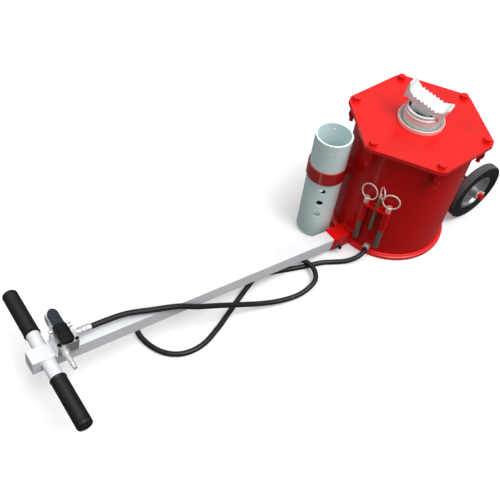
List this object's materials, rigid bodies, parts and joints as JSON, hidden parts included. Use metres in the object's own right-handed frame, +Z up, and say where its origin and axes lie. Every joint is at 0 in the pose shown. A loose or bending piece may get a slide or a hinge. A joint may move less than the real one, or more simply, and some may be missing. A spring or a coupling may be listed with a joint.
{
  "type": "wheeled air jack",
  "caption": "Drum-bodied air jack on two wheels with a toothed saddle on its ram, a long T-handle with a hand valve and air hose, a stored extension tube and stored pins.",
  "frame": {"origin": "centre of the base plate's underside, on the drum's axis, at the floor", "axes": "+Z up along the ram, -Y towards the T-handle, +Y towards the wheels, +X along the axle"},
  "size_m": [0.387, 1.4337, 0.4758],
  "materials": {
    "base_plate": "gloss",
    "drum_shell": "gloss",
    "top_plate": "gloss",
    "plate_lugs": "gloss",
    "plate_bolts": "gloss",
    "plate_washers": "gloss",
    "plate_nuts": "satin",
    "guide_flange": "machined",
    "guide_bush": "matte",
    "wiper_seal": "matte",
    "ram_tube": "ground and plated",
    "piston_plate": "satin",
    "air_bellows": "matte",
    "lower_bead_plate": "satin",
    "upper_bead_plate": "satin",
    "lower_bead_screws": "satin",
    "upper_bead_bolts": "zinc",
    "bump_stop": "matte",
    "supply_pipe": "satin",
    "saddle_seat": "satin",
    "swivel_cup": "satin",
    "saddle": "pale painted casting",
    "handle_socket": "gloss",
    "handle_tube": "gloss",
    "handle_pin": "black oxide",
    "handle_pin_clip": "zinc",
    "handle_skid": "satin",
    "tee_bar": "gloss",
    "left_grip": "textured",
    "right_grip": "textured",
    "valve_plate": "satin",
    "valve_body": "satin",
    "valve_screws": "black oxide",
    "valve_pivot": "satin",
    "rocker_plate": "satin",
    "lift_pad": "satin",
    "lower_pad": "satin",
    "inlet_plug": "zinc plate",
    "outlet_nut": "zinc plate",
    "hose_ferrule": "zinc plate",
    "air_hose": "satin",
    "hose_nipple": "zinc plate",
    "extension_tube": "satin",
    "holder_ring": "gloss",
    "tube_rest": "gloss",
    "pin_rack": "gloss",
    "left_hitch_pin": "zinc",
    "left_pull_ring": "bright",
    "right_hitch_pin": "zinc",
    "right_pull_ring": "bright",
    "lock_pin": "zinc",
    "axle": "gloss",
    "axle_brackets": "gloss",
    "axle_spacers": "matte",
    "axle_washers": "zinc",
    "cotter_pins": "zinc",
    "left_wheel_hub": "zinc",
    "left_tyre": "matte",
    "right_wheel_hub": "zinc",
    "right_tyre": "matte"
  },
  "bodies": {
    "chassis": {"base_plate": "base_plate", "drum_shell": "drum_shell", "top_plate": "top_plate", "plate_lugs": "plate_lugs", "plate_bolts": "plate_bolts", "plate_washers": "plate_washers", "plate_nuts": "plate_nuts", "guide_flange": "guide_flange", "guide_bush": "guide_bush", "wiper_seal": "wiper_seal", "air_bellows": "air_bellows", "lower_bead_plate": "lower_bead_plate", "lower_bead_screws": "lower_bead_screws", "bump_stop": "bump_stop", "supply_pipe": "supply_pipe", "handle_socket": "handle_socket", "handle_tube": "handle_tube", "handle_pin": "handle_pin", "handle_pin_clip": "handle_pin_clip", "handle_skid": "handle_skid", "tee_bar": "tee_bar", "left_grip": "left_grip", "right_grip": "right_grip", "valve_plate": "valve_plate", "valve_body": "valve_body", "valve_screws": "valve_screws", "valve_pivot": "valve_pivot", "inlet_plug": "inlet_plug", "outlet_nut": "outlet_nut", "hose_ferrule": "hose_ferrule", "air_hose": "air_hose", "hose_nipple": "hose_nipple", "holder_ring": "holder_ring", "tube_rest": "tube_rest", "pin_rack": "pin_rack", "axle": "axle", "axle_brackets": "axle_brackets", "axle_spacers": "axle_spacers", "axle_washers": "axle_washers", "cotter_pins": "cotter_pins"},
    "ram": {"ram_tube": "ram_tube", "piston_plate": "piston_plate", "upper_bead_plate": "upper_bead_plate", "upper_bead_bolts": "upper_bead_bolts", "saddle_seat": "saddle_seat"},
    "swivel_cup": {"swivel_cup": "swivel_cup"},
    "saddle": {"saddle": "saddle"},
    "valve_rocker": {"rocker_plate": "rocker_plate", "lift_pad": "lift_pad", "lower_pad": "lower_pad"},
    "extension_tube": {"extension_tube": "extension_tube"},
    "left_hitch_pin": {"left_hitch_pin": "left_hitch_pin"},
    "left_pull_ring": {"left_pull_ring": "left_pull_ring"},
    "right_hitch_pin": {"right_hitch_pin": "right_hitch_pin"},
    "right_pull_ring": {"right_pull_ring": "right_pull_ring"},
    "lock_pin": {"lock_pin": "lock_pin"},
    "left_wheel": {"left_wheel_hub": "left_wheel_hub", "left_tyre": "left_tyre"},
    "right_wheel": {"right_wheel_hub": "right_wheel_hub", "right_tyre": "right_tyre"}
  },
  "joints": [
    {"name": "ram_lift", "type": "slide", "parent": "chassis", "child": "ram", "axis": [0, 0, 1], "range_m": [0, 0.17], "deforming": ["air_bellows"]},
    {"name": "saddle_swivel", "type": "hinge", "parent": "ram", "child": "swivel_cup", "pos_m": [0, 0, 0.4], "axis": [0, 0, 1], "continuous": true},
    {"name": "saddle_tilt", "type": "hinge", "parent": "swivel_cup", "child": "saddle", "pos_m": [0, 0, 0.437], "axis": [0.3338, -0.9426, 0], "range_deg": [0, 25.6]},
    {"name": "valve_rock", "type": "hinge", "parent": "chassis", "child": "valve_rocker", "pos_m": [-0.014, -1.02817, 0.21411], "axis": [0, 0.9885, -0.1513], "range_deg": [-10, 10], "stiffness_Nm_per_rad": 0.8},
    {"name": "extension_tube_slide", "type": "slide", "parent": "chassis", "child": "extension_tube", "axis": [0, 0, 1], "range_m": [0, 0.24]},
    {"name": "left_pin_slide", "type": "slide", "parent": "chassis", "child": "left_hitch_pin", "axis": [0, 0, 1], "range_m": [0, 0.075]},
    {"name": "left_ring_swing", "type": "hinge", "parent": "left_hitch_pin", "child": "left_pull_ring", "pos_m": [0.03597, -0.16922, 0.205], "axis": [0.9781, 0.2079, 0], "range_deg": [0, 150]},
    {"name": "right_pin_slide", "type": "slide", "parent": "chassis", "child": "right_hitch_pin", "axis": [0, 0, 1], "range_m": [0, 0.075]},
    {"name": "right_ring_swing", "type": "hinge", "parent": "right_hitch_pin", "child": "right_pull_ring", "pos_m": [0.09549, -0.14426, 0.205], "axis": [0.8339, 0.5519, 0], "range_deg": [0, 140]},
    {"name": "lock_pin_slide", "type": "slide", "parent": "chassis", "child": "lock_pin", "axis": [0, 0, 1], "range_m": [0, 0.075]},
    {"name": "left_wheel_spin", "type": "hinge", "parent": "chassis", "child": "left_wheel", "pos_m": [-0.116, 0.224, 0.097], "axis": [1, 0, 0], "continuous": true},
    {"name": "right_wheel_spin", "type": "hinge", "parent": "chassis", "child": "right_wheel", "pos_m": [0.116, 0.224, 0.097], "axis": [1, 0, 0], "continuous": true}
  ]
}
